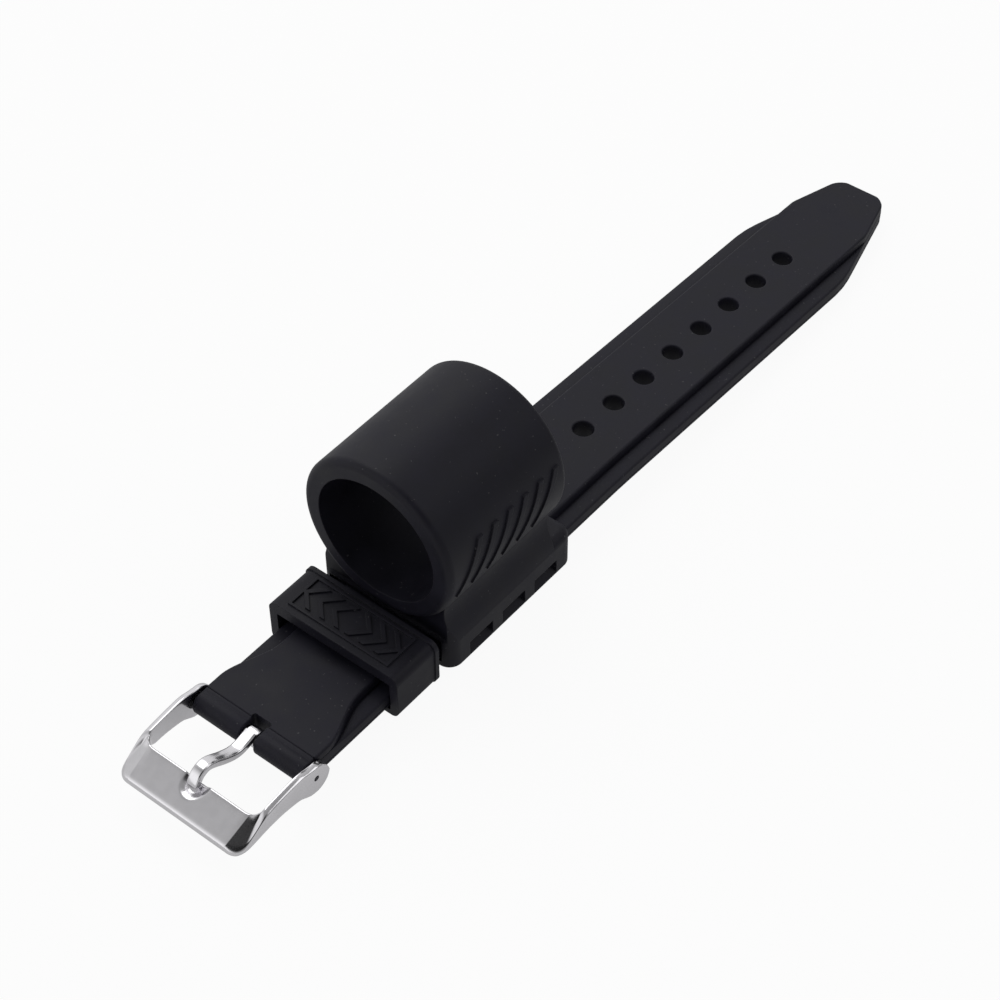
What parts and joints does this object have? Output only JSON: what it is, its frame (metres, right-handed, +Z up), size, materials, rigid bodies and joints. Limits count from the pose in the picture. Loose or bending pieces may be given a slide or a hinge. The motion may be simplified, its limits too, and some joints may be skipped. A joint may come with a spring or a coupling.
{
  "type": "torch wrist strap",
  "caption": "Rubber pin-buckle strap carrying a round ring for a small torch, with a keeper loop, a sprung-bar buckle and a row of adjustment holes.",
  "frame": {"origin": "middle of the ring holder's underside", "axes": "+X along the strap towards its free tip, +Y across the strap, +Z up from the wrist through the ring"},
  "size_m": [0.1825, 0.0296, 0.039],
  "materials": {
    "strap_rubber": "moulded black rubber, satin",
    "holder_rubber": "moulded black rubber, satin",
    "polished_steel": "stamped stainless steel, polished",
    "bar_steel": "turned stainless steel"
  },
  "bodies": {
    "strap": {"strap_middle": "strap_rubber"},
    "holder": {"ring_holder": "holder_rubber"},
    "buckle_end": {"strap_buckle_end": "strap_rubber", "spring_bar_barrel": "bar_steel", "spring_bar_spring": "bar_steel"},
    "keeper": {"keeper_loop": "holder_rubber"},
    "buckle": {"buckle_frame": "polished_steel"},
    "tongue": {"buckle_tongue": "polished_steel"},
    "pin_left": {"spring_bar_pin_left": "bar_steel"},
    "pin_right": {"spring_bar_pin_right": "bar_steel"},
    "tail_1": {"strap_tail_1": "strap_rubber"},
    "tail_2": {"strap_tail_2": "strap_rubber"},
    "tail_3": {"strap_tail_3": "strap_rubber"},
    "tail_4": {"strap_tail_4": "strap_rubber"},
    "tip": {"strap_tip": "strap_rubber"}
  },
  "joints": [
    {"name": "holder_slide", "type": "slide", "parent": "strap", "child": "holder", "axis": [1, 0, 0], "range_m": [-0.0008, 0.012]},
    {"name": "buckle_end_bend", "type": "hinge", "parent": "strap", "child": "buckle_end", "pos_m": [-0.01685, 0, 0.0014], "axis": [0, -1, 0], "range_deg": [0, 45]},
    {"name": "keeper_slide", "type": "slide", "parent": "buckle_end", "child": "keeper", "axis": [1, 0, 0], "range_m": [-0.012, 0.0004]},
    {"name": "buckle_swing", "type": "hinge", "parent": "buckle_end", "child": "buckle", "pos_m": [-0.045, 0, 0.0034], "axis": [0, 1, 0], "range_deg": [-60, 45]},
    {"name": "tongue_swing", "type": "hinge", "parent": "buckle", "child": "tongue", "pos_m": [-0.045, 0, 0.0034], "axis": [0, 1, 0], "range_deg": [0, 60]},
    {"name": "pin_left_press", "type": "slide", "parent": "buckle_end", "child": "pin_left", "axis": [0, -1, 0], "range_m": [0, 0.0013], "deforming": ["spring_bar_spring"]},
    {"name": "pin_right_press", "type": "slide", "parent": "buckle_end", "child": "pin_right", "axis": [0, 1, 0], "range_m": [0, 0.0013], "deforming": ["spring_bar_spring"]},
    {"name": "tail_1_bend", "type": "hinge", "parent": "strap", "child": "tail_1", "pos_m": [0.03075, 0, 0.0014], "axis": [0, 1, 0], "range_deg": [0, 40]},
    {"name": "tail_2_bend", "type": "hinge", "parent": "tail_1", "child": "tail_2", "pos_m": [0.04753, 0, 0.00061], "axis": [0, 1, 0], "range_deg": [0, 40]},
    {"name": "tail_3_bend", "type": "hinge", "parent": "tail_2", "child": "tail_3", "pos_m": [0.06431, 0, -0.00019], "axis": [0, 1, 0], "range_deg": [0, 40]},
    {"name": "tail_4_bend", "type": "hinge", "parent": "tail_3", "child": "tail_4", "pos_m": [0.08109, 0, -0.00098], "axis": [0, 1, 0], "range_deg": [0, 40]},
    {"name": "tip_bend", "type": "hinge", "parent": "tail_4", "child": "tip", "pos_m": [0.09788, 0, -0.00177], "axis": [0, 1, 0], "range_deg": [0, 40]}
  ],
  "couplings": [
    {"joint": "tail_2_bend", "follows": "tail_1_bend", "ratio": 1},
    {"joint": "tail_3_bend", "follows": "tail_1_bend", "ratio": 1},
    {"joint": "tail_4_bend", "follows": "tail_1_bend", "ratio": 1},
    {"joint": "tip_bend", "follows": "tail_1_bend", "ratio": 1}
  ]
}
